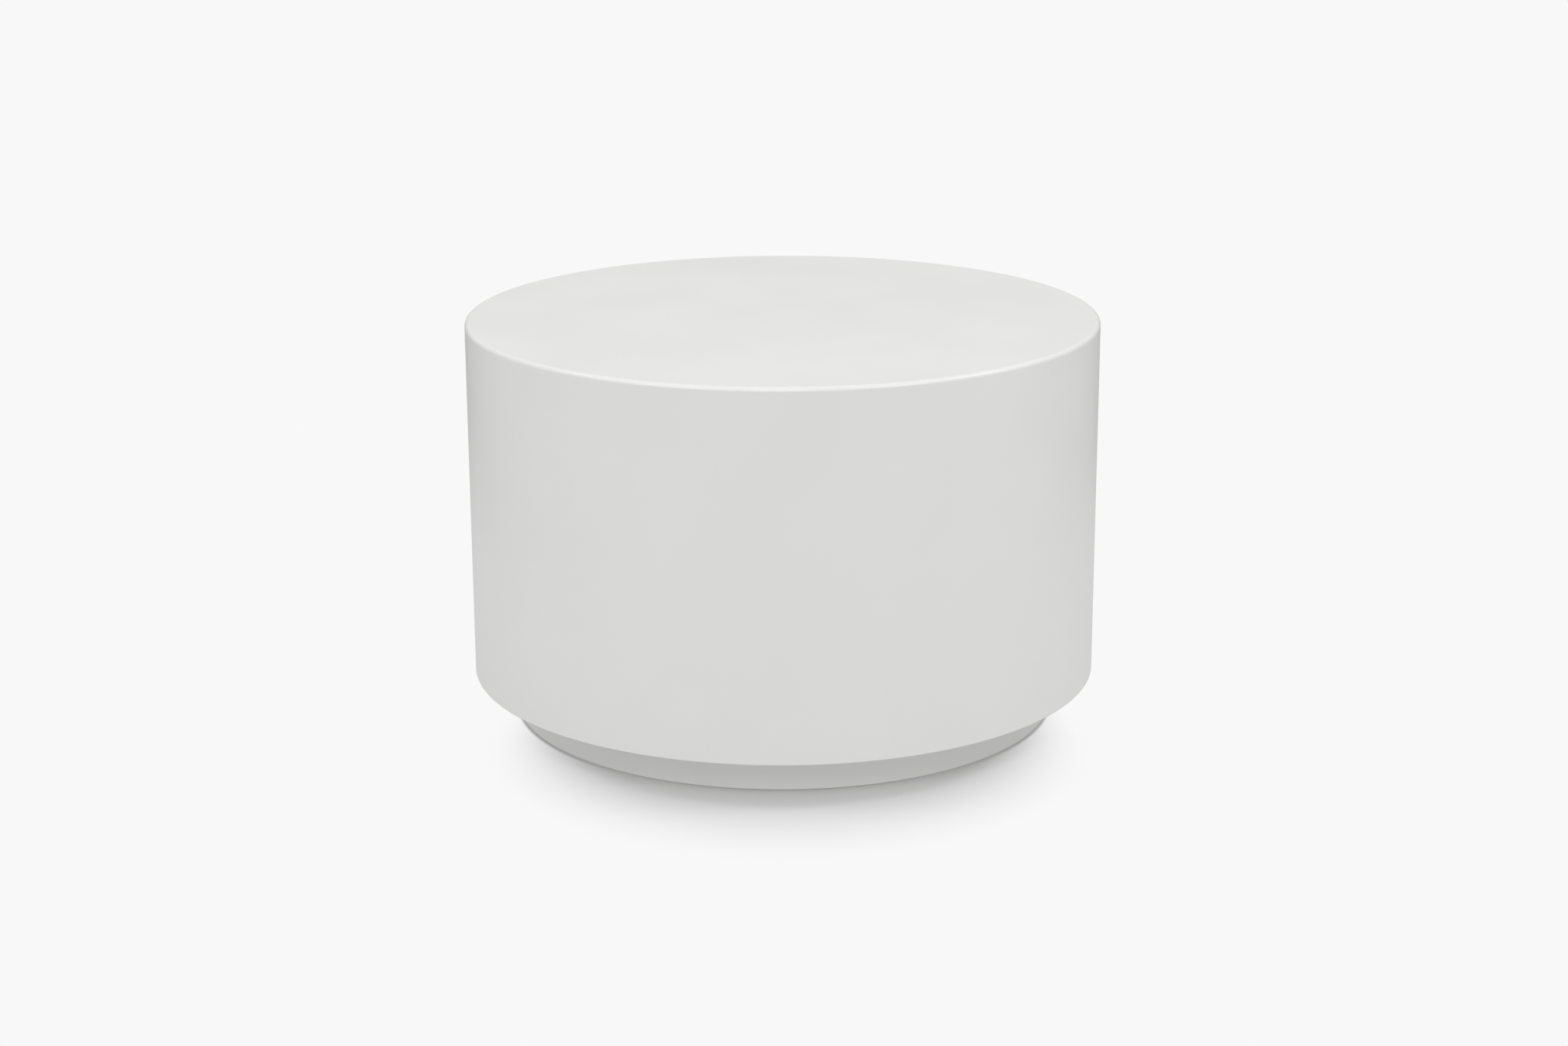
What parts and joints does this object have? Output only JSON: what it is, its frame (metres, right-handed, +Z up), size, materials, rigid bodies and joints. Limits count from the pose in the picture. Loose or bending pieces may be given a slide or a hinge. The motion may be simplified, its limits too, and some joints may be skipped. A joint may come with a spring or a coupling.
{
  "type": "round coffee table",
  "caption": "Low drum table with a flush round top, a closed curved side and a set-back round plinth on adjustable feet.",
  "frame": {"origin": "on the floor at the drum's axis, under the centre of the table", "axes": "+Z up along the drum's axis, -Y towards the viewer of the picture, +X to that viewer's right"},
  "size_m": [0.6, 0.6, 0.382],
  "materials": {
    "lacquer": "satin",
    "raw_mdf": "matte",
    "bending_board": "matte",
    "pine": "matte",
    "beech": "matte",
    "zinc_steel": "satin",
    "insert_metal": "satin",
    "nylon": "matte"
  },
  "bodies": {
    "table": {"top_panel": "lacquer", "outer_skin": "lacquer", "bottom_panel": "lacquer", "plinth_upper_ring": "lacquer", "plinth_lower_ring": "lacquer", "kerfed_core": "bending_board", "top_ring": "raw_mdf", "middle_ring": "raw_mdf", "bottom_ring": "raw_mdf", "plinth_dowels": "beech", "stud_screws_top": "zinc_steel", "stud_screws_bottom": "zinc_steel", "middle_ring_screws": "zinc_steel", "top_panel_screws": "zinc_steel", "bottom_panel_screws": "zinc_steel", "plinth_bolts": "zinc_steel", "plinth_washers": "zinc_steel", "plinth_inserts": "insert_metal", "foot_inserts": "insert_metal", "stud_1": "pine", "stud_2": "pine", "stud_3": "pine", "stud_4": "pine", "stud_5": "pine", "stud_6": "pine", "stud_7": "pine", "stud_8": "pine"},
    "foot_1": {"foot_pad_1": "nylon"},
    "foot_screw_1": {"foot_spindle_1": "zinc_steel"},
    "foot_2": {"foot_pad_2": "nylon"},
    "foot_screw_2": {"foot_spindle_2": "zinc_steel"},
    "foot_3": {"foot_pad_3": "nylon"},
    "foot_screw_3": {"foot_spindle_3": "zinc_steel"},
    "foot_4": {"foot_pad_4": "nylon"},
    "foot_screw_4": {"foot_spindle_4": "zinc_steel"}
  },
  "joints": [
    {"name": "foot_1_travel", "type": "slide", "parent": "table", "child": "foot_1", "axis": [0, 0, -1], "range_m": [0, 0.012]},
    {"name": "foot_1_turn", "type": "hinge", "parent": "foot_1", "child": "foot_screw_1", "pos_m": [0.16264, 0.16264, 0.0063], "axis": [0, 0, -1], "range_deg": [0, 3456]},
    {"name": "foot_2_travel", "type": "slide", "parent": "table", "child": "foot_2", "axis": [0, 0, -1], "range_m": [0, 0.012]},
    {"name": "foot_2_turn", "type": "hinge", "parent": "foot_2", "child": "foot_screw_2", "pos_m": [-0.16264, 0.16264, 0.0063], "axis": [0, 0, -1], "range_deg": [0, 3456]},
    {"name": "foot_3_travel", "type": "slide", "parent": "table", "child": "foot_3", "axis": [0, 0, -1], "range_m": [0, 0.012]},
    {"name": "foot_3_turn", "type": "hinge", "parent": "foot_3", "child": "foot_screw_3", "pos_m": [-0.16264, -0.16264, 0.0063], "axis": [0, 0, -1], "range_deg": [0, 3456]},
    {"name": "foot_4_travel", "type": "slide", "parent": "table", "child": "foot_4", "axis": [0, 0, -1], "range_m": [0, 0.012]},
    {"name": "foot_4_turn", "type": "hinge", "parent": "foot_4", "child": "foot_screw_4", "pos_m": [0.16264, -0.16264, 0.0063], "axis": [0, 0, -1], "range_deg": [0, 3456]}
  ],
  "couplings": [
    {"joint": "foot_1_turn", "follows": "foot_1_travel", "rad_per_m": 5026.5},
    {"joint": "foot_2_turn", "follows": "foot_2_travel", "rad_per_m": 5026.5},
    {"joint": "foot_3_turn", "follows": "foot_3_travel", "rad_per_m": 5026.5},
    {"joint": "foot_4_turn", "follows": "foot_4_travel", "rad_per_m": 5026.5}
  ]
}
